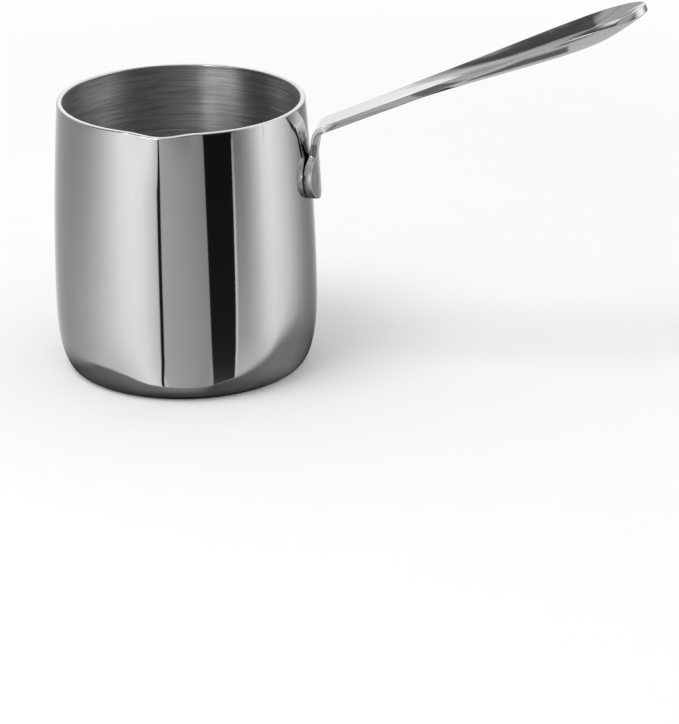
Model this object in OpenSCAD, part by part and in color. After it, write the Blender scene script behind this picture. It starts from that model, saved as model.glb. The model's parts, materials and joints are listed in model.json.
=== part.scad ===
// Stainless pouring pot for melting candle wax: a one-piece deep-drawn cup with
// a pressed pouring lip, and a stamped, dished strap handle spot-welded to its wall.
// Origin: centre of the base's resting face. +Z up, handle along +X, pouring lip along -Y.

/* [Pot] */
// Height from the resting face to the rim
pot_h = 96; // [90:1:104]
// Outer diameter at the rim
rim_d = 86; // [82:0.5:90]
// Outer diameter at the widest part of the barrel
belly_d = 92.4; // [91:0.2:96]
// Height of the widest part above the resting face
belly_z = 27; // [22:1:34]
// Diameter of the flat resting face
foot_d = 80; // [74:1:84]
// Thickness of the drawn wall and floor
wall_t = 1.5; // [1.2:0.1:1.8]
// Thickness of the ground rim, slightly upset inward
rim_t = 1.9; // [1.8:0.1:2.2]

/* [Pouring lip] */
// How far the lip stands out past the rim circle
lip_out = 1.8; // [1.6:0.1:3.6]
// How far down the wall the lip fades out
lip_drop = 15; // [12:0.5:18]
// Radius of the lip's curve at the rim
lip_r = 15.2; // [13:0.2:18]

/* [Handle] */
// Thickness of the strap
sheet_t = 2.35; // [2.1:0.05:2.6]
// Thickness of the pad, which the stamping leaves thicker than the strap
pad_t = 2.8; // [2.6:0.1:3.2]
// Width of the oval pad that lies on the wall
pad_w = 22.6; // [20:0.2:24]
// Height of the oval pad
pad_h = 16.4; // [15:0.2:18]
// Height of the pad's centre above the resting face
pad_z = 69.8; // [66:0.2:71]
// Width of the neck above the pad
neck_w = 10; // [9:0.2:12]
// Width of the straight bar
bar_w = 13; // [12:0.2:15]
// Greatest width of the dished grip
grip_w = 23.4; // [20:0.2:25]
// Depth of the dish inside its raised edges
dish_depth = 5.9; // [4:0.1:6.5]
// Slope of the handle above the horizontal, in degrees
handle_rise = 22.4; // [18:0.2:27]
// Length of the straight part from the bend to the tip
bar_len = 117.5; // [106:0.5:126]
// Length of the hanging hole
hole_l = 14; // [10:0.5:16]
// Width of the hanging hole
hole_w = 8; // [6:0.2:8.4]
// Distance from the hole's centre to the tip
hole_back = 21; // [18:0.5:26]

/* [Spot welds] */
// Diameter of each weld nugget
weld_d = 5.2; // [4:0.2:6]
// Half the spacing of the two welds, in degrees round the wall
weld_ang = 6.5; // [5:0.5:7.5]

/* [Hidden] */
$fn = 96;
steel = [0.78, 0.78, 0.79];
weld_col = [0.62, 0.62, 0.64];

belly_r = belly_d / 2;
rim_r = rim_d / 2;
foot_r = foot_d / 2;
seat_gap = 0.25;                    // the pad stands this far off the wall
weld_bite_wall = 0.9;               // how deep a nugget reaches into the wall
weld_bite_pad = 1.4;                // and into the pad

// ---- barrel profile: an eased corner up to the belly, then a slow draw-in to the rim
function draw_in(z) = (belly_r - rim_r) * pow((z - belly_z) / (pot_h - belly_z), 1.7);
function corner(z, z0, r0, r1) =
    r0 + (r1 - r0) * sqrt(max(0, 1 - pow(1 - (z - z0) / (belly_z - z0), 2.67)));
function outer_r(z) = z >= belly_z ? belly_r - draw_in(z) : corner(z, 0, foot_r, belly_r);
function rim_extra(z) = (rim_t - wall_t) * max(0, 1 - (pot_h - z) / 3);
function inner_r(z) = z >= belly_z
    ? belly_r - wall_t - draw_in(z) - rim_extra(z)
    : corner(z, wall_t, foot_r - 0.9, belly_r - wall_t);

n_low = 16;
n_up = 26;
// heights bunched towards the foot, where the corner turns fastest
function low_z(i, z0) = z0 + (belly_z - z0) * pow(i / n_low, 2);
function up_z(i) = belly_z + (pot_h - belly_z) * i / n_up;

edge = 0.35;                        // broken edge of the ground rim
outer_pts = concat(
    [[0, 0]],
    [for (i = [0 : n_low - 1]) [outer_r(low_z(i, 0)), low_z(i, 0)]],
    [for (i = [0 : n_up - 1]) [outer_r(up_z(i)), up_z(i)]],
    [[rim_r, pot_h - edge], [rim_r - edge, pot_h], [0, pot_h]]);
inner_pts = concat(
    [[0, wall_t]],
    [for (i = [0 : n_low - 1]) [inner_r(low_z(i, wall_t)), low_z(i, wall_t)]],
    [for (i = [0 : n_up - 2]) [inner_r(up_z(i)), up_z(i)]],
    [[inner_r(pot_h - 3), pot_h - 3], [inner_r(pot_h - edge), pot_h - edge],
     [inner_r(pot_h) + edge, pot_h], [inner_r(pot_h) + edge, pot_h + 1], [0, pot_h + 1]]);

// ---- pouring lip: a leaning cone whose outer side leaves the wall and curves outward
lip_base_r = 8;
lip_base_y = outer_r(pot_h - lip_drop) - lip_base_r - 0.3;
lip_top_y = rim_r + lip_out - lip_r;
lip_lean = atan((lip_base_y - lip_top_y) / lip_drop);
module lip_cone(shrink, over) {
    l = (lip_drop + over) / cos(lip_lean);
    grow = (lip_r - lip_base_r) / lip_drop * (lip_drop + over);
    translate([0, -lip_base_y, pot_h - lip_drop])
        rotate([-lip_lean, 0, 0])
            cylinder(h = l, r1 = lip_base_r - shrink, r2 = lip_base_r + grow - shrink);
}

module weld_solid(side) {
    r0 = outer_r(pad_z) - weld_bite_wall;
    rotate([0, 0, side * weld_ang])
        translate([r0, 0, pad_z])
            rotate([0, 90, 0])
                cylinder(h = weld_bite_wall + seat_gap + weld_bite_pad, d = weld_d, $fn = 48);
}

module pot_body() {
    color(steel) difference() {
        union() {
            rotate_extrude() polygon(outer_pts);
            intersection() {
                lip_cone(0, 6);
                translate([-40, -80, 40]) cube([80, 80, pot_h - 40]);
            }
        }
        rotate_extrude() polygon(inner_pts);
        lip_cone(wall_t, 8);
        weld_solid(-1);
        weld_solid(1);
    }
}

// ---- handle: one strip of sheet swept along a side profile
// The profile runs up the wall, out of the pad, through the bend and along the bar.
// heading is the direction of travel in the XZ plane; its left side is the inner face,
// which becomes the top face after the bend.
pad_bottom = pad_z - pad_h / 2;
leave_z = pad_z + 3.2;              // where the strip leaves the wall
lean = atan((outer_r(leave_z - 2) - outer_r(leave_z)) / 2);
neck_head = 80.8;                   // direction of the neck
first_arc = 8;                      // length of the easy curve out of the pad
neck_run = 3.2;                     // straight neck
bend_r = 4.6;                       // bend radius at the middle of the sheet
turn1 = 90 + lean - neck_head;
turn2 = neck_head - handle_rise;
bend_arc = bend_r * turn2 * PI / 180;

function ease(t) = let (u = min(1, max(0, t))) u * u * (3 - 2 * u);
function mix(a, b, t) = a + (b - a) * t;
// thickness of the strip at height z on the pad and neck
function thick(z) = mix(pad_t, sheet_t, ease((z - pad_z - 2.7) / 6));
function mid_x(z) = outer_r(z) + seat_gap + thick(z) / 2;
p_leave = [outer_r(leave_z) + seat_gap + thick(leave_z) / 2, leave_z];
r1 = first_arc / (turn1 * PI / 180);
// a point after travelling along an arc that turns clockwise from heading a by t degrees
function arc_pt(p, a, r, t) = p + r * [sin(a) - sin(a - t), -cos(a) + cos(a - t)];
function dir(a) = [cos(a), sin(a)];
p_neck = arc_pt(p_leave, 90 + lean, r1, turn1);
p_bend = p_neck + neck_run * dir(neck_head);
p_bar = arc_pt(p_bend, neck_head, bend_r, turn2);

n_pad = 14; n_arc = 6; n_neck = 3; n_bend = 8; n_bar = 36;
// stations: [point, heading, z on the pad and neck or 999, distance along the bar]
stations = concat(
    [for (i = [0 : n_pad - 1]) let (z = mix(pad_bottom + 0.03, leave_z, 1 - cos(90 * i / n_pad)))
        [[mid_x(z), z], 90 + lean, z, -99]],
    [for (i = [0 : n_arc - 1]) let (t = turn1 * i / n_arc, p = arc_pt(p_leave, 90 + lean, r1, t))
        [p, 90 + lean - t, p[1], -bend_arc - neck_run - first_arc * (1 - i / n_arc)]],
    [for (i = [0 : n_neck - 1]) let (p = p_neck + neck_run * i / n_neck * dir(neck_head))
        [p, neck_head, p[1], -bend_arc - neck_run * (1 - i / n_neck)]],
    [for (i = [0 : n_bend - 1]) let (t = turn2 * i / n_bend, p = arc_pt(p_bend, neck_head, bend_r, t))
        [p, neck_head - t, 999, bend_arc * (i / n_bend - 1)]],
    [for (i = [0 : n_bar]) let (s = (bar_len - 0.03) * sin(90 * i / n_bar))
        [p_bar + s * dir(handle_rise), handle_rise, 999, s]]);
function strip_t(st) = st[2] < 900 ? thick(st[2]) : sheet_t;

// tables along the bar: [distance for a bar 117.5 long, share of the full value]
width_tab = [[0, 0], [22, 0.087], [46, 0.473], [72, 0.692], [98, 1]];
rim_tab = [[6, 0], [28, 0.008], [50, 0.088], [72, 0.19], [92, 0.202], [106, 0.115], [117, -0.095]];
floor_tab = [[6, 0], [28, 0], [50, -0.28], [72, -0.593], [92, -0.8], [106, -0.654], [117, 0.007]];
// a table's value, averaged over 14 mm so that it has no corners
function soft(s, tab) = let (u = s * 117.5 / bar_len)
    (lookup(u - 7, tab) + lookup(u - 3.5, tab) + lookup(u, tab)
     + lookup(u + 3.5, tab) + lookup(u + 7, tab)) / 5;

// half width of the strip at a station
grip_s = bar_len - 19.2;            // from here the grip rounds off to its tip
function smax(a, b, k) = let (d = max(k - abs(a - b), 0) / k) max(a, b) + d * d * k / 4;
function pad_half(z) = pad_w / 2 * sqrt(max(0.002, 1 - pow((z - pad_z) / (pad_h / 2), 2)));
function neck_half(s) = mix(neck_w / 2, bar_w / 2, ease(1 + s / 8));
function grip_half(s) = mix(bar_w / 2, grip_w / 2, soft(s, width_tab));
function half_w(st) = let (z = st[2], s = st[3])
    z < pad_z ? pad_half(z)
    : z < 900 ? smax(z < pad_z + pad_h / 2 ? pad_half(z) : 0, neck_half(s), 1.6)
    : s < 0 ? neck_half(s)
    : s < grip_s ? grip_half(s)
    : grip_half(grip_s) * sqrt(max(0.002, 1 - pow((s - grip_s) / (bar_len - grip_s), 2.75)));

// the grip's floor dips below the bar and its edges stand up, then both meet at the tip
function floor_off(s) = dish_depth * soft(s, floor_tab);
function rim_off(s) = dish_depth * soft(s, rim_tab);
function rise(st) = st[3] > 0 ? max(0, rim_off(st[3]) - floor_off(st[3])) : 0;
function sink(st) = st[3] > 0 ? floor_off(st[3]) : 0;
// how much the strip still follows the wall's curve
function wrap(st) = st[2] > 900 ? 0 : 1 - ease((st[2] - leave_z) / 6);
wrap_r = mid_x(pad_z);
v0 = 0.3;                           // the middle of the dish stays flat
function g(v) = v <= v0 ? 0 : pow((v - v0) / (1 - v0), 2.2);
function dg(v) = v <= v0 ? 0 : 2.2 / (1 - v0) * pow((v - v0) / (1 - v0), 1.2);
// sine of the raised edge's slope
function edge_sin(h, w) = let (q = h * dg(1) / max(1, w)) q / sqrt(1 + q * q);

// lateral positions across the strip, closer together near the edges
lat = [for (i = [-6 : 6]) sin(15 * i)];
function sec_pts(st) = let (
        h = rise(st), c = wrap(st), t = strip_t(st), w = half_w(st),
        wm = max(0.15, w - t / 2 * edge_sin(h, w)),
        a = st[1], o = st[0], nx = -sin(a), nz = cos(a), k = sink(st))
    [for (side = [1, -1]) for (j = [0 : 12])
        let (v = side > 0 ? lat[j] : lat[12 - j], y = v * wm,
             n = c * (wrap_r - sqrt(wrap_r * wrap_r - y * y)) + h * g(abs(v)) + k,
             dn = c * y / sqrt(wrap_r * wrap_r - y * y)
                + (wm > 0.01 ? h * dg(abs(v)) * (v > 0 ? 1 : -1) / wm : 0),
             q = sqrt(1 + dn * dn),
             yy = y - side * t / 2 * dn / q,
             nn = n + side * t / 2 / q)
        [o[0] + nx * nn, yy, o[1] + nz * nn]];
ring = 26;
n_st = len(stations);
strip_pts = [for (st = stations) each sec_pts(st)];
strip_faces = concat(
    [for (i = [0 : n_st - 2]) for (j = [0 : ring - 1])
        let (a = i * ring + j, b = i * ring + (j + 1) % ring, c = a + ring, d = b + ring)
        each [[a, b, c], [b, d, c]]],
    [for (j = [0 : 11]) each
        let (a = j, b = j + 1, c = ring - 1 - j, d = ring - 2 - j)
        [[a, c, b], [b, c, d]]],
    [for (j = [0 : 11]) each
        let (k = (n_st - 1) * ring, a = k + j, b = k + j + 1, c = k + ring - 1 - j, d = k + ring - 2 - j)
        [[a, b, c], [b, d, c]]]);

// the hanging hole: an oval slot punched square through the dish's floor
module hole_cut() {
    s = bar_len - hole_back;
    p = p_bar + s * dir(handle_rise);
    translate([p[0], 0, p[1]]) rotate([0, -handle_rise, 0])
        translate([0, 0, -12]) linear_extrude(24) union() {
            translate([-(hole_l - hole_w) / 2, 0]) circle(d = hole_w, $fn = 48);
            translate([(hole_l - hole_w) / 2, 0]) circle(d = hole_w, $fn = 48);
            square([hole_l - hole_w, hole_w], center = true);
        }
}

module handle() {
    color(steel) difference() {
        polyhedron(points = strip_pts, faces = strip_faces, convexity = 6);
        hole_cut();
        weld_solid(-1);
        weld_solid(1);
    }
}

module front_spot_weld() { color(weld_col) weld_solid(-1); }
module rear_spot_weld() { color(weld_col) weld_solid(1); }

pot_body();
handle();
front_spot_weld();
rear_spot_weld();
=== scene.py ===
import json
import math

import bmesh
import bpy
from mathutils import Matrix, Vector

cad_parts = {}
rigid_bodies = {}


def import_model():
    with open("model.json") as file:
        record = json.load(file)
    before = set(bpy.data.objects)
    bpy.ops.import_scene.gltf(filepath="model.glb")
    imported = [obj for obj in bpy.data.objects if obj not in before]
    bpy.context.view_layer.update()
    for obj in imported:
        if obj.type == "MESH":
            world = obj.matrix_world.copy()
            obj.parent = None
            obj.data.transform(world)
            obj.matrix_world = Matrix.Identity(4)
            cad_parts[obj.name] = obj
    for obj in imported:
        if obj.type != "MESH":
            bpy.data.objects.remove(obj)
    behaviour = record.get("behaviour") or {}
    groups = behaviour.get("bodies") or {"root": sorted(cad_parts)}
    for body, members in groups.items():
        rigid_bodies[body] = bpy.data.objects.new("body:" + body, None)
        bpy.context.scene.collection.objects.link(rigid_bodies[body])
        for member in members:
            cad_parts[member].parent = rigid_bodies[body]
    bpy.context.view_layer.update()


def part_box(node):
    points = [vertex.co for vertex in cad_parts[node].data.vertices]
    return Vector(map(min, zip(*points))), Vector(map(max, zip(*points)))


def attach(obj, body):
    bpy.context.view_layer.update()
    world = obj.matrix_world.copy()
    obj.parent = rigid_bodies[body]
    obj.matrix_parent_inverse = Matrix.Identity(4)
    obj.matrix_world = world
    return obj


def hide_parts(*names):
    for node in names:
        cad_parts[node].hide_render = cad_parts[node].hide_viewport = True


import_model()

MM = 0.001

# ------------------------------------------------------------------ sizes, in mm
# The visual meshes repeat the design's own rules, so they lie on the CAD solids.
box_lo, box_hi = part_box("pot_body")
POT_H = box_hi[2] / MM
BELLY_R = box_hi[0] / MM
RIM_R = 43.0
BELLY_Z = 27.0
FOOT_R = 40.0
WALL = 1.5
RIM_T = 1.9
LIP_OUT = 1.35
LIP_DROP = 19.0
LIP_DIP = 0.8
RIM_ROUND = 0.45
SHEET, PAD_T = 2.35, 2.8
PAD_W, PAD_H, PAD_Z = 22.6, 16.4, 69.8
NECK_W, BAR_W, GRIP_W = 10.0, 13.0, 23.4
DISH = 5.9
RISE = 22.4
BAR_LEN = 117.5
HOLE_L, HOLE_W, HOLE_BACK = 14.0, 8.0, 21.0
GAP = 0.25
WELD_ANG = 6.5


def lerp(a, b, t):
    return a + (b - a) * t


def ease(t):
    u = min(1.0, max(0.0, t))
    return u * u * (3 - 2 * u)


# ------------------------------------------------------------------ pot profile
def draw_in(z):
    return (BELLY_R - RIM_R) * max(0.0, (z - BELLY_Z) / (POT_H - BELLY_Z)) ** 1.7


def corner(z, z0, r0, r1):
    k = 1 - max(0.0, 1 - (z - z0) / (BELLY_Z - z0)) ** 2.67
    return r0 + (r1 - r0) * math.sqrt(max(0.0, k))


def outer_r(z):
    return BELLY_R - draw_in(z) if z >= BELLY_Z else corner(z, 0, FOOT_R, BELLY_R)


def inner_r(z):
    extra = (RIM_T - WALL) * ease(1 - (POT_H - z) / 4)
    if z >= BELLY_Z:
        return BELLY_R - WALL - draw_in(z) - extra
    return corner(z, WALL, FOOT_R - 0.9, BELLY_R - WALL)


LIP_HALF = math.radians(15.5)


def lip_push(phi, z):
    """How far the pressed lip moves the wall out, at angle phi from the lip's centre."""
    d = POT_H - z
    if d >= LIP_DROP:
        return 0.0
    t = max(0.0, d / LIP_DROP)
    half = LIP_HALF * math.sqrt(max(1e-6, 1 - (t * 0.86) ** 2.4))
    a = abs(phi) / half
    if a >= 1:
        return 0.0
    bell = math.cos(a * math.pi / 2) ** 1.9
    return LIP_OUT * bell * (1 - t) ** 1.45


def lip_dip(phi, z):
    """How far the rim sinks at the lip; it fades out over 12 mm of wall."""
    a = abs(phi) / (LIP_HALF * 1.15)
    if a >= 1 or z < POT_H - 12:
        return 0.0
    return LIP_DIP * (1 - ease(a)) * (1 - a) ** 0.3 * ease(1 - (POT_H - z) / 12)


def pot_loop():
    """Radius, height and part of every ring, from the foot's centre round the rim to the floor's centre."""
    pts = []
    for r in (0.4, 1.2, 2.4, 5, 9, 14, 19, 24, 29, 33, 36, 38, 39.2):
        pts.append((r, 0.0, "under"))
    n = 40
    for i in range(n):
        z = BELLY_Z * (i / n) ** 2
        pts.append((outer_r(z), z, "out"))
    n = 44
    for i in range(n):
        z = BELLY_Z + (POT_H - RIM_ROUND - BELLY_Z) * i / n
        pts.append((outer_r(z), z, "out"))
    # the ground rim: outer corner, crown, inner corner
    ro, ri = RIM_R, RIM_R - RIM_T
    for i in range(8):
        a = i / 8 * math.pi / 2
        pts.append((ro - RIM_ROUND + RIM_ROUND * math.cos(a), POT_H - RIM_ROUND + RIM_ROUND * math.sin(a), "rim"))
    pts.append((ro - RIM_ROUND - 0.03, POT_H, "rim"))
    pts.append((lerp(ro - RIM_ROUND, ri + 0.5, 0.5), POT_H, "rim"))
    for i in range(8):
        a = math.pi / 2 + i / 8 * math.pi / 2
        pts.append((ri + 0.5 + 0.5 * math.cos(a), POT_H - 0.5 + 0.5 * math.sin(a), "rim"))
    n = 40
    top = POT_H - 0.5
    for i in range(n):
        z = top - (top - BELLY_Z) * i / n
        pts.append((inner_r(z), z, "in"))
    n = 34
    for i in range(n + 1):
        z = WALL + (BELLY_Z - WALL) * (1 - i / n) ** 2
        pts.append((inner_r(z), z, "in"))
    for r in (38.4, 37, 34, 30, 25, 20, 15, 10, 6, 3, 1.4, 0.5):
        pts.append((r, WALL, "floor"))
    return pts


def new_object(name, verts, faces, mats=(), face_mat=None):
    me = bpy.data.meshes.new(name)
    me.from_pydata([tuple(c * MM for c in v) for v in verts], [], faces)
    me.validate(clean_customdata=False)
    o = bpy.data.objects.new(name, me)
    bpy.context.scene.collection.objects.link(o)
    for m in mats:
        me.materials.append(m)
    if face_mat is not None:
        me.polygons.foreach_set("material_index", face_mat)
    me.polygons.foreach_set("use_smooth", [True] * len(me.polygons))
    me.update()
    return o


def weld_mark(phi, z, sharp=2.3):
    """Depth of the shallow round marks that the welding electrodes leave."""
    depth = 0.0
    for side in (-1, 1):
        dx = (phi - side * math.radians(WELD_ANG)) * 45.0
        dz = z - PAD_Z
        q = math.hypot(dx, dz) / sharp
        if q < 1.6:
            depth += math.exp(-(q**4) * 1.2)
    return depth


def make_pot(mats):
    loop = pot_loop()
    n_az = 540
    verts, faces, fm = [], [], []
    kinds = {"under": 3, "out": 0, "rim": 1, "in": 2, "floor": 2}
    for r, z, kind in loop:
        for j in range(n_az):
            a = 2 * math.pi * j / n_az
            phi = (a + math.pi / 2 + math.pi) % (2 * math.pi) - math.pi  # 0 at -Y
            rr, zz = r, z
            if kind in ("out", "rim", "in"):
                rr += lip_push(phi, z)
                zz -= lip_dip(phi, z)
            if kind == "in":
                # faint print of the inner electrode
                pa = (a + math.pi) % (2 * math.pi) - math.pi
                rr += 0.03 * weld_mark(pa, z)
            verts.append((rr * math.cos(a), rr * math.sin(a), zz))
    n = len(loop)
    for i in range(n - 1):
        k = kinds[loop[i + 1][2]] if loop[i][2] == "under" else kinds[loop[i][2]]
        for j in range(n_az):
            b = (j + 1) % n_az
            faces.append((i * n_az + j, i * n_az + b, (i + 1) * n_az + b, (i + 1) * n_az + j))
            fm.append(k)
    c0 = len(verts)
    verts.append((0, 0, 0))
    c1 = len(verts)
    verts.append((0, 0, WALL))
    for j in range(n_az):
        b = (j + 1) % n_az
        faces.append((c0, b, j))
        fm.append(3)
        faces.append((c1, (n - 1) * n_az + j, (n - 1) * n_az + b))
        fm.append(2)
    o = new_object("pot_shell", verts, faces, mats, fm)
    bm = bmesh.new()
    bm.from_mesh(o.data)
    bmesh.ops.recalc_face_normals(bm, faces=bm.faces)
    bm.to_mesh(o.data)
    bm.free()
    return o


# ------------------------------------------------------------------ handle
PAD_BOTTOM = PAD_Z - PAD_H / 2
LEAVE = PAD_Z + 3.2
LEAN = math.degrees(math.atan((outer_r(LEAVE - 2) - outer_r(LEAVE)) / 2))
NECK_HEAD = 80.8
FIRST_ARC = 8.0
NECK_RUN = 3.2
BEND_R = 4.6
TURN1 = 90 + LEAN - NECK_HEAD
TURN2 = NECK_HEAD - RISE
R1 = FIRST_ARC / math.radians(TURN1)
BEND_ARC = BEND_R * math.radians(TURN2)
GRIP_S = BAR_LEN - 19.2


def thick(z):
    return lerp(PAD_T, SHEET, ease((z - PAD_Z - 2.7) / 6))


def mid_x(z):
    return outer_r(z) + GAP + thick(z) / 2


def arc_pt(p, a, r, t):
    a0, a1 = math.radians(a), math.radians(a - t)
    return (p[0] + r * (math.sin(a0) - math.sin(a1)), p[1] + r * (-math.cos(a0) + math.cos(a1)))


def along(p, a, d):
    return (p[0] + d * math.cos(math.radians(a)), p[1] + d * math.sin(math.radians(a)))


P_LEAVE = (mid_x(LEAVE), LEAVE)
P_NECK = arc_pt(P_LEAVE, 90 + LEAN, R1, TURN1)
P_BEND = along(P_NECK, NECK_HEAD, NECK_RUN)
P_BAR = arc_pt(P_BEND, NECK_HEAD, BEND_R, TURN2)

WIDTH_TAB = [(0, 0), (22, 0.087), (46, 0.473), (72, 0.692), (98, 1)]
RIM_TAB = [(6, 0), (28, 0.008), (50, 0.088), (72, 0.19), (92, 0.202), (106, 0.115), (117, -0.095)]
FLOOR_TAB = [(6, 0), (28, 0), (50, -0.28), (72, -0.593), (92, -0.8), (106, -0.654), (117, 0.007)]


def lookup(u, tab):
    if u <= tab[0][0]:
        return tab[0][1]
    for (a, va), (b, vb) in zip(tab, tab[1:]):
        if u <= b:
            return lerp(va, vb, (u - a) / (b - a))
    return tab[-1][1]


def soft(s, tab):
    """A table's value averaged over 14 mm, as the design does it, with finer steps."""
    u = s * 117.5 / BAR_LEN
    coarse = sum(lookup(u + d, tab) for d in (-7, -3.5, 0, 3.5, 7)) / 5
    fine = sum(lookup(u - 8.75 + 17.5 * (i + 0.5) / 30, tab) for i in range(30)) / 30
    return 0.25 * coarse + 0.75 * fine


def smax(a, b, k):
    d = max(k - abs(a - b), 0) / k
    return max(a, b) + d * d * k / 4


def pad_half(z):
    return PAD_W / 2 * math.sqrt(max(0.002, 1 - ((z - PAD_Z) / (PAD_H / 2)) ** 2))


def neck_half(s):
    """Half width from the neck to the bar; the visual strap widens over a longer run, so its edge stays smooth."""
    return lerp(NECK_W / 2, BAR_W / 2, ease((s + 15) / 21))


def grip_half(s):
    return lerp(BAR_W / 2, GRIP_W / 2, soft(s, WIDTH_TAB))


def half_w(z, s):
    if z is not None:
        if z < PAD_Z:
            return pad_half(z)
        return smax(pad_half(z) if z < PAD_Z + PAD_H / 2 else 0, neck_half(s), 1.6)
    if s < 0:
        return neck_half(s)
    if s < GRIP_S:
        return grip_half(s) - (BAR_W / 2 - neck_half(s))
    return grip_half(GRIP_S) * math.sqrt(max(0.002, 1 - ((s - GRIP_S) / (BAR_LEN - GRIP_S)) ** 2.75))


def floor_off(s):
    return DISH * soft(s, FLOOR_TAB)


def rim_off(s):
    return DISH * soft(s, RIM_TAB)


V0 = 0.3


def g(v):
    return 0.0 if v <= V0 else ((v - V0) / (1 - V0)) ** 2.2


def dg(v):
    return 0.0 if v <= V0 else 2.2 / (1 - V0) * ((v - V0) / (1 - V0)) ** 1.2


def edge_sin(h, w):
    q = h * dg(1) / max(1, w)
    return q / math.hypot(1, q)


WRAP_R = mid_x(PAD_Z)


def stations():
    """(point, heading, height on the pad and neck or None, distance along the bar, thickness)"""
    out = []
    n = 54
    for i in range(n):
        z = lerp(PAD_BOTTOM + 0.03, LEAVE, 1 - math.cos(math.pi / 2 * i / n))
        out.append(((mid_x(z), z), 90 + LEAN, z, -99, thick(z)))
    n = 24
    for i in range(n):
        t = TURN1 * i / n
        p = arc_pt(P_LEAVE, 90 + LEAN, R1, t)
        out.append((p, 90 + LEAN - t, p[1], -BEND_ARC - NECK_RUN - FIRST_ARC * (1 - i / n), thick(p[1])))
    n = 10
    for i in range(n):
        p = along(P_NECK, NECK_HEAD, NECK_RUN * i / n)
        out.append((p, NECK_HEAD, p[1], -BEND_ARC - NECK_RUN * (1 - i / n), thick(p[1])))
    n = 26
    for i in range(n):
        t = TURN2 * i / n
        out.append((arc_pt(P_BEND, NECK_HEAD, BEND_R, t), NECK_HEAD - t, None, BEND_ARC * (i / n - 1), SHEET))
    n = 210
    for i in range(n + 1):
        s = (BAR_LEN - 0.03) * math.sin(math.pi / 2 * (i / n) ** 0.93)
        out.append((along(P_BAR, RISE, s), RISE, None, s, SHEET))
    return out


EDGE = 0.2  # broken edge of the sheet


def face_point(y, w, h, c):
    """Middle line of the sheet at y across the strip: offset and the sine and cosine of its slope."""
    v = abs(y) / w
    root = math.sqrt(WRAP_R * WRAP_R - y * y)
    n = c * (WRAP_R - root) + h * g(v)
    dn = c * y / root + h * dg(v) * (1 if y > 0 else -1) / w
    q = math.hypot(1, dn)
    return n, dn / q, 1 / q


def dimple(a, b, r):
    """0 to 1 inside a shallow round mark of radius r."""
    q = math.hypot(a, b) / r
    return 0.0 if q >= 1.25 else 1 - ease((q - 0.55) / 0.7)


def make_handle(mats):
    sts = stations()
    verts, faces = [], []
    m = 26
    ring = 20 + 2 * (2 * m + 1)
    for (o, a, z, s, t) in sts:
        half = t / 2
        h = max(0.0, rim_off(s) - floor_off(s)) if s > 0 else 0.0
        sink = floor_off(s) if s > 0 else 0.0
        c = 0.0 if z is None else 1 - ease((z - LEAVE - 2.5) / 5)
        slant = 0.0 if z is None else 0.1 * (1 - ease((z - PAD_Z - 3) / 4))
        w = half_w(z, s)
        if s > GRIP_S:
            # the floor of the dish meets the rim just before the nose
            k = ease(w / 6.5)
            h, sink = h * k, sink + h * (1 - k)
        wm = max(0.15, w - half * edge_sin(h, w))
        e = min(EDGE, wm * 0.6, half * 0.9)

        def cap(sgn):
            """Points round the sheet's broken edge, from the top face to the bottom face."""
            n, sn, cs = face_point(sgn * wm, wm, h, c)
            pts = []
            for part in (0, 1):
                for k in range(5):
                    q = (part + k / 4) * math.pi / 2
                    reach = e * (math.sin(q) - 1)
                    up = (half - e if part == 0 else e - half) + e * math.cos(q)
                    # the cut edge of the pad leans in a little toward the wall side
                    out_y = wm + cs * reach - slant * (up + half)
                    pts.append((sgn * out_y - sn * up, n + sgn * sn * reach + cs * up))
            return pts

        lim = max(0.02, wm - e * 1.25 - slant * 2 * half)
        tops, lows = [], []
        for i in range(-m, m + 1):
            y = math.sin(math.pi / 2 * i / m) * lim
            n, sn, cs = face_point(y, wm, h, c)
            low = half
            if z is not None and z < PAD_Z + 6:
                # the outer electrodes leave two shallow marks on the pad
                d = WRAP_R * math.radians(WELD_ANG)
                low -= 0.16 * (dimple(y - d, z - PAD_Z, 2.5) + dimple(y + d, z - PAD_Z, 2.5))
            tops.append((y - sn * half, n + half * cs))
            lows.append((y + sn * low, n - low * cs))
        sec = cap(1) + lows[::-1] + cap(-1)[::-1] + tops
        nx, nz = -math.sin(math.radians(a)), math.cos(math.radians(a))
        for (y, n) in sec:
            nn = n + sink
            verts.append((o[0] + nx * nn, y, o[1] + nz * nn))
    n_st = len(sts)
    for i in range(n_st - 1):
        for j in range(ring):
            k = (j + 1) % ring
            faces.append((i * ring + j, i * ring + k, (i + 1) * ring + k, (i + 1) * ring + j))
    for base, flip in ((0, 1), ((n_st - 1) * ring, 0)):
        cx = [sum(verts[base + j][q] for j in range(ring)) / ring for q in range(3)]
        ci = len(verts)
        verts.append(tuple(cx))
        for j in range(ring):
            k = (j + 1) % ring
            faces.append((ci, base + k, base + j) if flip else (ci, base + j, base + k))
    o = new_object("handle_strap", verts, faces, mats)
    bm = bmesh.new()
    bm.from_mesh(o.data)
    bmesh.ops.recalc_face_normals(bm, faces=bm.faces)
    bm.to_mesh(o.data)
    bm.free()
    return o


def hole_cutter():
    s = BAR_LEN - HOLE_BACK
    p = along(P_BAR, RISE, s)
    verts, faces = [], []
    n = 64
    r = HOLE_W / 2
    d = (HOLE_L - HOLE_W) / 2
    levels = (-8.0, 8.0)
    for lv in levels:
        for i in range(n):
            t = 2 * math.pi * i / n
            x = r * math.cos(t) + (d if math.cos(t) > 1e-9 else -d if math.cos(t) < -1e-9 else 0)
            y = r * math.sin(t)
            a = math.radians(RISE)
            verts.append((p[0] + x * math.cos(a) - lv * math.sin(a), y, p[1] + x * math.sin(a) + lv * math.cos(a)))
    for i in range(n):
        k = (i + 1) % n
        faces.append((i, k, n + k, n + i))
    faces.append(tuple(range(n))[::-1])
    faces.append(tuple(range(n, 2 * n)))
    return new_object("cutter", verts, faces)


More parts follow.
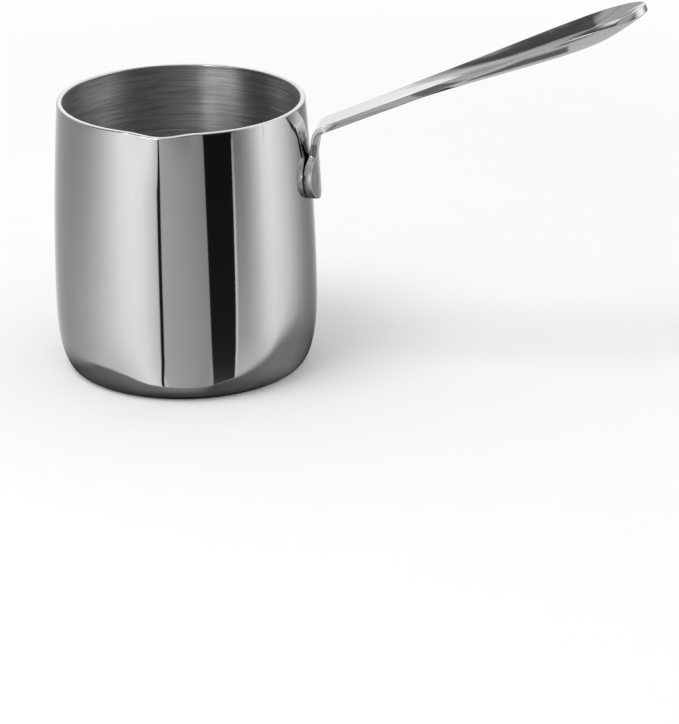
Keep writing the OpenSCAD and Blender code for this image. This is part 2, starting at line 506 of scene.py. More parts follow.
def apply_boolean(o, cutter):
    m = o.modifiers.new("hole", "BOOLEAN")
    m.object = cutter
    m.operation = "DIFFERENCE"
    m.solver = "EXACT"
    dg_ = bpy.context.evaluated_depsgraph_get()
    me = bpy.data.meshes.new_from_object(o.evaluated_get(dg_))
    o.modifiers.clear()
    old = o.data
    o.data = me
    bpy.data.meshes.remove(old)
    bpy.data.objects.remove(cutter, do_unlink=True)


# ------------------------------------------------------------------ materials
def nodes_of(name):
    m = bpy.data.materials.new(name)
    m.use_nodes = True
    nt = m.node_tree
    nt.nodes.clear()
    out = nt.nodes.new("ShaderNodeOutputMaterial")
    b = nt.nodes.new("ShaderNodeBsdfPrincipled")
    nt.links.new(b.outputs[0], out.inputs[0])
    return m, nt, b


def N(nt, kind, **kw):
    n = nt.nodes.new(kind)
    for k, v in kw.items():
        if k == "inputs":
            for i, val in v.items():
                n.inputs[i].default_value = val
        else:
            setattr(n, k, v)
    return n


def math_node(nt, op, a=None, b=None, c=None):
    n = nt.nodes.new("ShaderNodeMath")
    n.operation = op
    for i, v in enumerate((a, b, c)):
        if v is None:
            continue
        if isinstance(v, (int, float)):
            n.inputs[i].default_value = v
        else:
            nt.links.new(v, n.inputs[i])
    return n.outputs[0]


def map_range(nt, v, a, b, c, d, smooth=False):
    n = nt.nodes.new("ShaderNodeMapRange")
    if smooth:
        n.interpolation_type = "SMOOTHSTEP"
    nt.links.new(v, n.inputs[0])
    for i, x in enumerate((a, b, c, d)):
        n.inputs[i + 1].default_value = x
    return n.outputs[0]


def noise(nt, vec, scale, detail=3.0, rough=0.55, dist=0.0):
    n = nt.nodes.new("ShaderNodeTexNoise")
    nt.links.new(vec, n.inputs["Vector"])
    n.inputs["Scale"].default_value = scale
    n.inputs["Detail"].default_value = detail
    n.inputs["Roughness"].default_value = rough
    n.inputs["Distortion"].default_value = dist
    return n.outputs[0]


def scaled(nt, vec, sx, sy, sz, rot=(0, 0, 0)):
    n = nt.nodes.new("ShaderNodeMapping")
    n.inputs["Scale"].default_value = (sx, sy, sz)
    n.inputs["Rotation"].default_value = rot
    nt.links.new(vec, n.inputs["Vector"])
    return n.outputs[0]


def obj_coord(nt):
    return nt.nodes.new("ShaderNodeTexCoord").outputs["Object"]


def cyl_coord(nt, vec):
    """Angle round the pot's axis, radius and height, as one vector in metres-like units."""
    sep = nt.nodes.new("ShaderNodeSeparateXYZ")
    nt.links.new(vec, sep.inputs[0])
    ang = math_node(nt, "ARCTAN2", sep.outputs[1], sep.outputs[0])
    x2 = math_node(nt, "MULTIPLY", sep.outputs[0], sep.outputs[0])
    y2 = math_node(nt, "MULTIPLY", sep.outputs[1], sep.outputs[1])
    rad = math_node(nt, "SQRT", math_node(nt, "ADD", x2, y2))
    return ang, rad, sep.outputs[2]


def combine(nt, a, b, c):
    n = nt.nodes.new("ShaderNodeCombineXYZ")
    for i, v in enumerate((a, b, c)):
        if isinstance(v, (int, float)):
            n.inputs[i].default_value = v
        else:
            nt.links.new(v, n.inputs[i])
    return n.outputs[0]


def bump(nt, height, dist, strength=1.0, normal=None):
    n = nt.nodes.new("ShaderNodeBump")
    n.inputs["Strength"].default_value = strength
    n.inputs["Distance"].default_value = dist
    nt.links.new(height, n.inputs["Height"])
    if normal is not None:
        nt.links.new(normal, n.inputs["Normal"])
    return n.outputs[0]


def ramp2(nt, v, c0, c1):
    n = nt.nodes.new("ShaderNodeMix")
    n.data_type = "RGBA"
    nt.links.new(v, n.inputs[0])
    n.inputs[6].default_value = (*c0, 1)
    n.inputs[7].default_value = (*c1, 1)
    return n.outputs[2]


def mat_mirror():
    """Mirror-polished outside wall."""
    m, nt, b = nodes_of("polished_steel")
    oc = obj_coord(nt)
    ang, rad, z = cyl_coord(nt, oc)
    b.inputs["Metallic"].default_value = 1.0
    # colour: a faint cloudiness left by handling and polishing paste
    cloud = noise(nt, scaled(nt, oc, 1, 1, 0.6), 28, 3)
    nt.links.new(ramp2(nt, map_range(nt, cloud, 0.3, 0.7, 0, 1), (0.745, 0.747, 0.752), (0.785, 0.786, 0.788)), b.inputs["Base Color"])
    # roughness: polishing streaks run round the wall, with a few finer hairlines
    streak = noise(nt, combine(nt, math_node(nt, "MULTIPLY", ang, 0.35), 0, math_node(nt, "MULTIPLY", z, 260)), 6, 4, 0.6)
    fine = noise(nt, combine(nt, math_node(nt, "MULTIPLY", ang, 2.2), 0, math_node(nt, "MULTIPLY", z, 2600)), 3, 2, 0.5)
    r = math_node(nt, "MULTIPLY_ADD", streak, 0.022, 0.018)
    r = math_node(nt, "MULTIPLY_ADD", fine, 0.012, r)
    r = math_node(nt, "MULTIPLY_ADD", cloud, 0.012, r)
    nt.links.new(r, b.inputs["Roughness"])
    wave = noise(nt, scaled(nt, oc, 1, 1, 0.55), 22, 1)
    n1 = bump(nt, wave, 0.00003)
    n2 = bump(nt, streak, 0.0000016, normal=n1)
    nt.links.new(n2, b.inputs["Normal"])
    return m


def mat_rim():
    m, nt, b = nodes_of("ground_rim_steel")
    oc = obj_coord(nt)
    ang, rad, z = cyl_coord(nt, oc)
    b.inputs["Metallic"].default_value = 1.0
    lines = noise(nt, combine(nt, math_node(nt, "MULTIPLY", ang, 1.2), math_node(nt, "MULTIPLY", rad, 9000), math_node(nt, "MULTIPLY", z, 9000)), 1, 3)
    nt.links.new(ramp2(nt, lines, (0.74, 0.74, 0.745), (0.84, 0.84, 0.845)), b.inputs["Base Color"])
    nt.links.new(math_node(nt, "MULTIPLY_ADD", lines, 0.12, 0.12), b.inputs["Roughness"])
    nt.links.new(bump(nt, lines, 0.000004), b.inputs["Normal"])
    return m


def mat_inside():
    """Satin inside: fine brush lines that run round the wall and across the floor in rings."""
    m, nt, b = nodes_of("satin_steel_inside")
    oc = obj_coord(nt)
    ang, rad, z = cyl_coord(nt, oc)
    b.inputs["Metallic"].default_value = 1.0
    # the brush lines spread light across themselves, so the highlights stand upright
    b.inputs["Anisotropic"].default_value = 0.9
    b.inputs["Anisotropic Rotation"].default_value = 0.25
    tan = nt.nodes.new("ShaderNodeTangent")
    tan.direction_type = "RADIAL"
    tan.axis = "Z"
    nt.links.new(tan.outputs[0], b.inputs["Tangent"])
    fine = noise(nt, combine(nt, math_node(nt, "MULTIPLY", ang, 2.2), math_node(nt, "MULTIPLY", rad, 2300), math_node(nt, "MULTIPLY", z, 2300)), 1, 3, 0.62)
    broad = noise(nt, combine(nt, math_node(nt, "MULTIPLY", ang, 0.9), math_node(nt, "MULTIPLY", rad, 420), math_node(nt, "MULTIPLY", z, 420)), 1, 3, 0.6)
    arcs = noise(nt, combine(nt, math_node(nt, "MULTIPLY", ang, 3.4), math_node(nt, "MULTIPLY", rad, 700), math_node(nt, "MULTIPLY", z, 700)), 1, 1, 0.5)
    arcs = map_range(nt, arcs, 0.54, 0.70, 0, 1)
    shade = math_node(nt, "MULTIPLY_ADD", fine, 0.86, math_node(nt, "MULTIPLY", broad, 0.14))
    shade = map_range(nt, shade, 0.33, 0.67, 0, 1)
    shade = math_node(nt, "MULTIPLY_ADD", arcs, 0.3, shade)
    nt.links.new(ramp2(nt, shade, (0.42, 0.42, 0.425), (0.85, 0.85, 0.855)), b.inputs["Base Color"])
    r = math_node(nt, "MULTIPLY_ADD", fine, 0.12, 0.34)
    r = math_node(nt, "MULTIPLY_ADD", broad, 0.05, r)
    r = math_node(nt, "MULTIPLY_ADD", arcs, -0.06, r)
    nt.links.new(r, b.inputs["Roughness"])
    n1 = bump(nt, broad, 0.000006)
    n2 = bump(nt, fine, 0.00002, normal=n1)
    n3 = bump(nt, arcs, 0.000012, normal=n2)
    nt.links.new(n3, b.inputs["Normal"])
    return m


def mat_under():
    m, nt, b = nodes_of("foot_steel")
    oc = obj_coord(nt)
    ang, rad, z = cyl_coord(nt, oc)
    b.inputs["Metallic"].default_value = 1.0
    lines = noise(nt, combine(nt, math_node(nt, "MULTIPLY", ang, 1.5), math_node(nt, "MULTIPLY", rad, 1500), 0), 1, 3, 0.6)
    rub = noise(nt, oc, 130, 4, 0.6)
    rub = map_range(nt, rub, 0.5, 0.7, 0, 1)
    nt.links.new(ramp2(nt, lines, (0.60, 0.60, 0.605), (0.74, 0.74, 0.742)), b.inputs["Base Color"])
    r = math_node(nt, "MULTIPLY_ADD", lines, 0.14, 0.24)
    r = math_node(nt, "MULTIPLY_ADD", rub, 0.12, r)
    nt.links.new(r, b.inputs["Roughness"])
    nt.links.new(bump(nt, lines, 0.000012), b.inputs["Normal"])
    return m


def mat_handle():
    """Polished strap with lengthwise polishing lines, a little coarser in the dish."""
    m, nt, b = nodes_of("handle_polished_steel")
    oc = obj_coord(nt)
    b.inputs["Metallic"].default_value = 1.0
    # coordinates with the handle's slope taken out: x runs along the bar
    v = scaled(nt, oc, 1, 1, 1, rot=(0, math.radians(RISE), 0))
    sep = nt.nodes.new("ShaderNodeSeparateXYZ")
    nt.links.new(v, sep.inputs[0])
    lx, ly, lz = sep.outputs
    lines = noise(nt, combine(nt, math_node(nt, "MULTIPLY", lx, 45), math_node(nt, "MULTIPLY", ly, 2400), math_node(nt, "MULTIPLY", lz, 2400)), 1, 3, 0.6)
    broad = noise(nt, combine(nt, math_node(nt, "MULTIPLY", lx, 14), math_node(nt, "MULTIPLY", ly, 420), math_node(nt, "MULTIPLY", lz, 420)), 1, 2, 0.5)
    cloud = noise(nt, oc, 60, 3)
    unshaded_colour = ramp2(nt, map_range(nt, lines, 0.3, 0.7, 0, 1), (0.725, 0.727, 0.732), (0.79, 0.79, 0.792))
    # painted shade: the base colour is darkened in the crevice where the neck leaves the wall, close to the wall
    ang, rad, zz = cyl_coord(nt, oc)
    spread = noise(nt, oc, 500, 3, 0.6)
    near = map_range(nt, math_node(nt, "ABSOLUTE", math_node(nt, "SUBTRACT", zz, 0.0797)), 0.0016, 0.0034, 1, 0, True)
    near = math_node(nt, "MULTIPLY", near, map_range(nt, rad, 0.0492, 0.0515, 1, 0.25, True))
    near = math_node(nt, "MULTIPLY", near, map_range(nt, spread, 0.3, 0.65, 0.65, 1))
    mix = nt.nodes.new("ShaderNodeMix")
    mix.data_type = "RGBA"
    # painted shade: up to 85% of the way to a near-black colour inside that crevice band
    nt.links.new(math_node(nt, "MULTIPLY", near, 0.85), mix.inputs[0])
    nt.links.new(unshaded_colour, mix.inputs[6])
    mix.inputs[7].default_value = (0.15, 0.145, 0.14, 1)
    nt.links.new(mix.outputs[2], b.inputs["Base Color"])
    r = math_node(nt, "MULTIPLY_ADD", lines, 0.07, 0.07)
    r = math_node(nt, "MULTIPLY_ADD", cloud, 0.04, r)
    # the cut edge of the welded pad is left rougher than its faces
    across = nt.nodes.new("ShaderNodeSeparateXYZ")
    nt.links.new(oc, across.inputs[0])
    ey = math_node(nt, "MULTIPLY", across.outputs[1], 1000 / (PAD_W / 2))
    ez = math_node(nt, "MULTIPLY", math_node(nt, "SUBTRACT", across.outputs[2], PAD_Z / 1000), 1000 / (PAD_H / 2))
    oval = math_node(nt, "SQRT", math_node(nt, "ADD", math_node(nt, "MULTIPLY", ey, ey), math_node(nt, "MULTIPLY", ez, ez)))
    cut = math_node(nt, "MULTIPLY", map_range(nt, oval, 0.955, 0.975, 0, 1, True), map_range(nt, across.outputs[2], 0.0755, 0.0775, 1, 0, True))
    r = math_node(nt, "MULTIPLY_ADD", cut, 0.3, r)
    nt.links.new(r, b.inputs["Roughness"])
    n1 = bump(nt, broad, 0.00001)
    n2 = bump(nt, lines, 0.000003, normal=n1)
    nt.links.new(n2, b.inputs["Normal"])
    return m


def mat_weld():
    m, nt, b = nodes_of("fused_steel")
    oc = obj_coord(nt)
    b.inputs["Metallic"].default_value = 1.0
    grain = noise(nt, oc, 1800, 4, 0.6)
    nt.links.new(ramp2(nt, grain, (0.42, 0.41, 0.40), (0.58, 0.57, 0.56)), b.inputs["Base Color"])
    nt.links.new(math_node(nt, "MULTIPLY_ADD", grain, 0.2, 0.35), b.inputs["Roughness"])
    nt.links.new(bump(nt, grain, 0.00003), b.inputs["Normal"])
    return m


def mat_floor():
    """Pale matt floor that runs out into plain white well away from the pot."""
    m, nt, b = nodes_of("studio_floor")
    oc = obj_coord(nt)
    n = noise(nt, oc, 40, 4)
    nt.links.new(ramp2(nt, n, (0.90, 0.90, 0.90), (0.915, 0.915, 0.915)), b.inputs["Base Color"])
    b.inputs["Roughness"].default_value = 0.9
    b.inputs["Specular IOR Level"].default_value = 0.0
    ang, rad, z = cyl_coord(nt, oc)
    em = nt.nodes.new("ShaderNodeEmission")
    em.inputs[0].default_value = (1, 1, 1, 1)
    mix = nt.nodes.new("ShaderNodeMixShader")
    nt.links.new(map_range(nt, rad, 0.22, 0.62, 0, 1, True), mix.inputs[0])
    nt.links.new(b.outputs[0], mix.inputs[1])
    nt.links.new(em.outputs[0], mix.inputs[2])
    out = next(q for q in nt.nodes if q.type == "OUTPUT_MATERIAL")
    nt.links.new(mix.outputs[0], out.inputs[0])
    return m


# ------------------------------------------------------------------ camera
AZ, EL, ROLL = 10.2, 19.317, 1.644
FOCAL_PX, DIST = 2836.14, 1.0
AIM = Vector((0, 0, 0.048))
AIM_PX = (184.98, 228.96)
W_PX, H_PX = 679, 724


def make_camera():
    a, e = math.radians(AZ), math.radians(EL)
    back = Vector((math.sin(a) * math.cos(e), -math.cos(a) * math.cos(e), math.sin(e)))
    fwd = -back
    right = Vector((math.cos(a), math.sin(a), 0))
    up = right.cross(fwd)
    basis = Matrix((right, up, fwd))
    rl = math.radians(ROLL)
    roll = Matrix(((math.cos(rl), -math.sin(rl), 0), (math.sin(rl), math.cos(rl), 0), (0, 0, 1)))
    t = Vector(((AIM_PX[0] - W_PX / 2) / FOCAL_PX, -(AIM_PX[1] - H_PX / 2) / FOCAL_PX, 1)).normalized()
    swing = Vector((0, 0, 1)).rotation_difference(t).to_matrix()
    rows = swing @ roll @ basis
    r, u, f = rows[0], rows[1], rows[2]
    cam = bpy.data.cameras.new("camera")
    cam.sensor_width = 36
    cam.lens = FOCAL_PX * 36 / max(W_PX, H_PX)
    cam.clip_start, cam.clip_end = 0.05, 50
    o = bpy.data.objects.new("camera", cam)
    bpy.context.scene.collection.objects.link(o)
    m = Matrix((r, u, -f)).transposed().to_4x4()
    m.translation = AIM + back * DIST
    o.matrix_world = m
    bpy.context.scene.camera = o


# ------------------------------------------------------------------ studio
def lin(s):
    s = s / 255
    return s / 12.92 if s <= 0.04045 else ((s + 0.055) / 1.055) ** 2.4


REFL = 0.765
# True: panels, flags and two small cards whose tones were fitted to one view's reflections.
# False: one plain soft gradient all round, and no cards.
FITTED_STUDIO = True


def grey_ramp(nt, v, stops):
    n = nt.nodes.new("ShaderNodeValToRGB")
    cr = n.color_ramp
    cr.interpolation = "LINEAR"
    while len(cr.elements) > 1:
        cr.elements.remove(cr.elements[-1])
    cr.elements[0].position = (stops[0][0] + 180) / 360
    k = lin(stops[0][1]) / REFL
    cr.elements[0].color = (k, k, k, 1)
    for d, s in stops[1:]:
        k = lin(s) / REFL
        cr.elements.new((d + 180) / 360).color = (k, k, k, 1)
    nt.links.new(v, n.inputs[0])
    return n.outputs[0]


def curve(nt, v, lo, hi, stops, base, span, kind="LINEAR"):
    """A value that follows v through the stops, held in a ramp as (value - base) / span."""
    n = nt.nodes.new("ShaderNodeValToRGB")
    cr = n.color_ramp
    cr.interpolation = kind
    while len(cr.elements) > 1:
        cr.elements.remove(cr.elements[-1])
    for i, (d, q) in enumerate(stops):
        k = (q - base) / span
        e = cr.elements[0] if i == 0 else cr.elements.new((d - lo) / (hi - lo))
        e.position = (d - lo) / (hi - lo)
        e.color = (k, k, k, 1)
    nt.links.new(map_range(nt, v, lo, hi, 0, 1), n.inputs[0])
    return math_node(nt, "MULTIPLY_ADD", n.outputs[0], span, base)


def tone_of(nt, v):
    """A grey tone from 0 to 255 as light, near enough for dark tones."""
    k = math_node(nt, "POWER", math_node(nt, "MULTIPLY", v, 1 / 255), 2.2)
    k = math_node(nt, "MULTIPLY", k, 1 / REFL)
    return combine(nt, k, k, k)


def make_world():
    """Ring of soft panels and dark flags as polished steel sees them, white to the camera, even to matt surfaces."""
    w = bpy.data.worlds.new("studio")
    bpy.context.scene.world = w
    w.use_nodes = True
    nt = w.node_tree
    nt.nodes.clear()
    out = nt.nodes.new("ShaderNodeOutputWorld")
    tc = nt.nodes.new("ShaderNodeTexCoord")
    sep = nt.nodes.new("ShaderNodeSeparateXYZ")
    nt.links.new(tc.outputs["Generated"], sep.inputs[0])
    x, y, z = sep.outputs
    az = math_node(nt, "ARCTAN2", x, math_node(nt, "MULTIPLY", y, -1.0))
    b = math_node(nt, "SUBTRACT", az, math.radians(AZ))
    b = math_node(nt, "WRAP", b, math.pi, -math.pi)
    u = map_range(nt, b, -math.pi, math.pi, 0, 1)
    bd = math_node(nt, "MULTIPLY", b, 180 / math.pi)
    el = math_node(nt, "MULTIPLY", math_node(nt, "ARCSINE", z), 180 / math.pi)

    def mixc(f, a, b_):
        n = nt.nodes.new("ShaderNodeMix")
        n.data_type = "RGBA"
        nt.links.new(f, n.inputs[0])
        for i, v in ((6, a), (7, b_)):
            if isinstance(v, tuple):
                n.inputs[i].default_value = v
            else:
                nt.links.new(v, n.inputs[i])
        return n.outputs[2]

    def past(v, edge, soft_w):
        """0 before the edge and 1 past it; the edge may itself be a curve."""
        if not isinstance(edge, (int, float)):
            v, edge = math_node(nt, "SUBTRACT", v, edge), 0
        return map_range(nt, v, edge - soft_w / 2, edge + soft_w / 2, 0, 1, True)

    def inside(v, lo, hi, s_lo, s_hi):
        return math_node(nt, "MULTIPLY", past(v, lo, s_lo), math_node(nt, "SUBTRACT", 1.0, past(v, hi, s_hi)))

    def both(p, q):
        return math_node(nt, "MULTIPLY", p, q)

    def card(c, mask, tone, tint=1.0):
        k = lin(tone) / REFL
        return mixc(mask, c, (k, k * (1 + (tint - 1) / 2), k * tint, 1))

    # the ring of panels: level with the pot, a little lower, and lower still
    ring_a = grey_ramp(nt, u, [
        (-180, 246), (-176, 232), (-166, 200), (-148, 156), (-136, 140), (-120, 126), (-104, 128), (-92, 142), (-80, 166),
        (-68, 196), (-58, 218), (-46, 226), (-38, 220), (-26, 188), (-22.5, 154), (-8, 146), (8, 131), (18, 119),
        (44, 102), (52, 113), (60, 144), (68, 184), (75, 214), (84, 222), (94, 209), (104, 192), (116, 162), (128, 122),
        (142, 112), (158, 130), (174, 206), (180, 246)])
    ring_b = grey_ramp(nt, u, [
        (-180, 228), (-172, 220), (-162, 184), (-148, 151), (-132, 139), (-118, 141), (-100, 153), (-84, 174),
        (-68, 197), (-56, 213), (-45, 217), (-37, 211), (-26, 184), (-22.5, 156), (-8, 147), (6, 139), (18, 130),
        (44, 140), (54, 148), (64, 171), (74, 198), (82, 207), (92, 201), (104, 183), (116, 154), (128, 131),
        (140, 120), (152, 134), (168, 184), (180, 228)])
    ring_c = grey_ramp(nt, u, [
        (-180, 150), (-150, 132), (-120, 146), (-100, 160), (-84, 176), (-68, 184), (-54, 203), (-42, 214),
        (-36, 208), (-26, 184), (-22.5, 158), (0, 145), (18, 133), (46, 166), (56, 170), (68, 172), (80, 176), (96, 160), (120, 140), (180, 150)])
    # the same ring higher up, where the inside of the pot and the handle look
    upper = grey_ramp(nt, u, [
        (-180, 238), (-177, 228), (-170, 216), (-150, 210), (-136, 130), (-118, 96), (-92, 56), (-68, 66), (-60, 80), (-52, 88), (-44, 92), (-40, 110), (-26, 150),
        (-19, 130), (-12, 126), (4, 108), (16, 60), (26, 36), (44, 36), (56, 96), (66, 178), (82, 232),
        (100, 244), (114, 176), (132, 120), (150, 200), (180, 226)])
    c = mixc(map_range(nt, el, -33, -21, 0, 1), ring_c, ring_b)
    c = mixc(map_range(nt, el, -20, -10, 0, 1), c, ring_a)
    c = mixc(past(el, 3, 12), c, upper)
    # tall bright panel that lights the inside of the pot, with a gap along the handle's own reflections
    arc = curve(nt, bd, -180, 180, [(-180, 0), (-95, 54), (-75, 50.5), (-60, 45), (-52, 38), (-45, 31), (-38, 20), (-33, 8), (-29, -2), (-20, -40), (180, -40)], -60, 130)
    off_arc = math_node(nt, "ABSOLUTE", math_node(nt, "SUBTRACT", el, arc))
    clear = map_range(nt, off_arc, 9, 14, 0, 1, True)
    c = card(c, both(both(inside(bd, -53, -24, 9, 2), inside(el, 3, 37, 5, 5)), clear), 480)
    # light seen by the handle's upper faces: panels behind and to the left, and the ceiling
    over = grey_ramp(nt, u, [(-180, 206), (-174, 190), (-166, 180), (-155, 178), (-148, 150), (-138, 136), (-131, 158), (-123, 180),
                             (-112, 168), (-98, 142), (-86, 152), (-74, 164), (-60, 164), (-44, 164), (-28, 150), (180, 156)])
    c = mixc(both(inside(bd, -179, -58, 4, 4), inside(el, 42, 90, 3, 1)), c, over)
    c = mixc(both(inside(bd, -60, -40, 4, 12), inside(el, 45, 90, 3, 1)), c, over)
    rise = curve(nt, bd, -180, 180, [(-180, 3), (-176, 8), (-170, 22), (-160, 33), (-150, 40), (-130, 47), (-110, 50), (-100, 50), (180, 50)], 0, 60)
    left = both(inside(bd, -174, -100, 5, 14), inside(el, 12, 90, 6, 1))
    c = mixc(both(left, past(el, rise, 4)), c, over)
    left = both(inside(bd, -163, -100, 8, 14), inside(el, 4, 90, 3, 1))
    c = card(c, both(left, math_node(nt, "SUBTRACT", 1.0, past(el, rise, 4))), 158)
    c = mixc(both(past(bd, -28, 6), past(el, 52, 16)), c, over)
    c = card(c, past(el, 82, 8), 238)
    # the dark floor zone starts lower in front of the camera than behind the pot
    lim = curve(nt, bd, -180, 180, [
        (-180, -22.5), (-168, -23), (-156, -26), (-144, -28.2), (-128, -30), (-112, -31.7), (-96, -33.2), (-80, -35.6), (-64, -40), (-56, -44), (-46, -49), (-34, -52),
        (-20, -54.5), (0, -56), (20, -55), (34, -50), (46, -45), (56, -41), (64, -37), (72, -33.4), (80, -29.5), (88, -25.2), (96, -23.4), (104, -22.2), (116, -21), (180, -21)], -90, 90)
    under = math_node(nt, "SUBTRACT", el, lim)
    right = map_range(nt, math_node(nt, "ABSOLUTE", math_node(nt, "SUBTRACT", bd, 80)), 18, 40, 1, 0, True)
    far = past(math_node(nt, "ABSOLUTE", bd), 112, 30)
    t_low = mixc(right, map_range(nt, under, -1.4, 1.0, 1, 0, True), map_range(nt, under, -4.0, 4.0, 1, 0, True))
    t_low = mixc(far, t_low, map_range(nt, under, -5.0, 3.5, 1, 0, True))
    low_a = grey_ramp(nt, u, [(-180, 34), (-160, 52), (-140, 68), (-120, 79), (-96, 90), (-72, 104), (-50, 120), (-20, 135),
                              (14, 128), (28, 88), (60, 96), (90, 108), (118, 104), (140, 88), (156, 66), (168, 40), (180, 26)])
    low_b = grey_ramp(nt, u, [(-180, 28), (-150, 41), (-120, 56), (-90, 74), (-64, 92), (-42, 98), (-26, 108), (-4, 112),
                              (16, 100), (30, 64), (60, 72), (90, 73), (120, 58), (144, 37), (180, 24)])
    low_c = grey_ramp(nt, u, [(-180, 25), (-140, 33), (-100, 48), (-50, 55), (0, 62), (30, 62), (60, 54), (100, 44), (140, 34), (180, 25)])
    low = mixc(map_range(nt, el, -55, -38, 0, 1), low_b, low_a)
    low = mixc(map_range(nt, el, -74, -58, 0, 1), low_c, low)
    c = mixc(t_low, c, low)
    # tall black flag with a thin bright edge on its right, and the thin dark gap left of the lip
    fl = curve(nt, el, -60, 20, [(-60, 28), (-50, 26.5), (-40, 23.5), (-30, 21.3), (-20, 19.7), (-12, 18.6), (-5, 18), (20, 17)], 0, 60)
    fr = curve(nt, el, -60, 20, [(-60, 54), (-50, 50.5), (-45, 48.4), (-38, 45.4), (-30, 43.2), (-22, 42.4), (-15, 43.0), (-7, 44.6), (20, 46)], 0, 60)
    high = math_node(nt, "SUBTRACT", 1.0, past(el, 26, 20))
    reach = both(past(el, lim, 3), high)
    edge = both(reach, math_node(nt, "SUBTRACT", 1.0, past(el, -11, 12)))
    c = card(c, both(inside(bd, fr, math_node(nt, "ADD", fr, 2.0), 0.6, 1.6), edge), 182)
    flag_tone = curve(nt, el, -60, -10, [(-60, 62), (-50, 62), (-44, 50), (-36, 42), (-28, 35), (-14, 25), (-10, 24)], 0, 255)
    c = mixc(both(inside(bd, fl, fr, 0.8, 0.7), reach), c, tone_of(nt, flag_tone))
    gap = curve(nt, el, -60, 20, [(-60, -32), (-50, -29.4), (-45, -28), (-38, -25.6), (-30, -23.6), (-20, -22.4), (-10, -22.2), (20, -22)], -60, 60)
    off = math_node(nt, "ABSOLUTE", math_node(nt, "SUBTRACT", bd, gap))
    c = card(c, both(map_range(nt, off, 1.0, 2.1, 1, 0, True), both(past(el, lim, 3), math_node(nt, "SUBTRACT", 1.0, past(el, 0, 8)))), 16)
    # dark flag over the handle, light again above it
    top = curve(nt, bd, -180, 180, [
        (-180, 57), (-131, 55.5), (-127, 56), (-110, 57.5), (-95, 57.5), (-82, 57.5), (-72, 56.3), (-60, 52.8), (-55, 51),
        (-52, 49), (-47, 45.8), (-43, 43.2), (-37, 41.2), (-30, 41), (180, 41)], 0, 90)
    crown = curve(nt, bd, -180, 180, [(-180, 62), (-150, 62), (-135, 63.5), (-125, 65), (-115, 67), (-105, 69.5), (-95, 72), (-85, 73.5),
                                      (-75, 75), (-65, 76.5), (-55, 78), (-45, 79), (-30, 81), (180, 81)], 0, 90)
    c = card(c, both(inside(bd, -134, -30, 6, 5), past(el, top, 2.4)), 60)
    c = card(c, both(inside(bd, -150, -30, 8, 5), past(el, crown, 9)), 236)
    if not FITTED_STUDIO:
        side = grey_ramp(nt, u, [(-180, 232), (-90, 172), (0, 214), (90, 150), (180, 232)])
        c = card(side, past(el, 50, 60), 238)
    lp = nt.nodes.new("ShaderNodeLightPath")
    bg_g = nt.nodes.new("ShaderNodeBackground")
    nt.links.new(c, bg_g.inputs[0])
    bg_d = nt.nodes.new("ShaderNodeBackground")
    bg_d.inputs[0].default_value = (1, 1, 1, 1)
    bg_d.inputs[1].default_value = 0.83
    bg_c = nt.nodes.new("ShaderNodeBackground")
    bg_c.inputs[0].default_value = (1, 1, 1, 1)
    bg_c.inputs[1].default_value = 1.0
    m1 = nt.nodes.new("ShaderNodeMixShader")
    nt.links.new(lp.outputs["Is Glossy Ray"], m1.inputs[0])
    nt.links.new(bg_d.outputs[0], m1.inputs[1])
    nt.links.new(bg_g.outputs[0], m1.inputs[2])
    m2 = nt.nodes.new("ShaderNodeMixShader")
    nt.links.new(lp.outputs["Is Camera Ray"], m2.inputs[0])
    nt.links.new(m1.outputs[0], m2.inputs[1])
    nt.links.new(bg_c.outputs[0], m2.inputs[2])
    nt.links.new(m2.outputs[0], out.inputs[0])


def make_floor():
    verts, faces = [(0, 0, 0)], []
    n = 96
    for i in range(n):
        a = 2 * math.pi * i / n
        verts.append((9000 * math.cos(a), 9000 * math.sin(a), 0))
    for i in range(n):
        faces.append((0, 1 + i, 1 + (i + 1) % n))
    o = new_object("floor", verts, faces, [mat_floor()])
    o.location.z = -0.00005
    o.visible_glossy = False


def near_only(nt, em, out, lo, hi):
    """The card shows only to surfaces whose distance along the ray is between lo and hi metres."""
    lp = nt.nodes.new("ShaderNodeLightPath")
    d = lp.outputs["Ray Length"]
    f = math_node(nt, "MULTIPLY", map_range(nt, d, lo - 0.001, lo + 0.001, 0, 1), map_range(nt, d, hi - 0.002, hi + 0.002, 1, 0))
    clear = nt.nodes.new("ShaderNodeBsdfTransparent")
    mix = nt.nodes.new("ShaderNodeMixShader")
    nt.links.new(f, mix.inputs[0])
    nt.links.new(clear.outputs[0], mix.inputs[1])
    nt.links.new(em.outputs[0], mix.inputs[2])
    nt.links.new(mix.outputs[0], out.inputs[0])


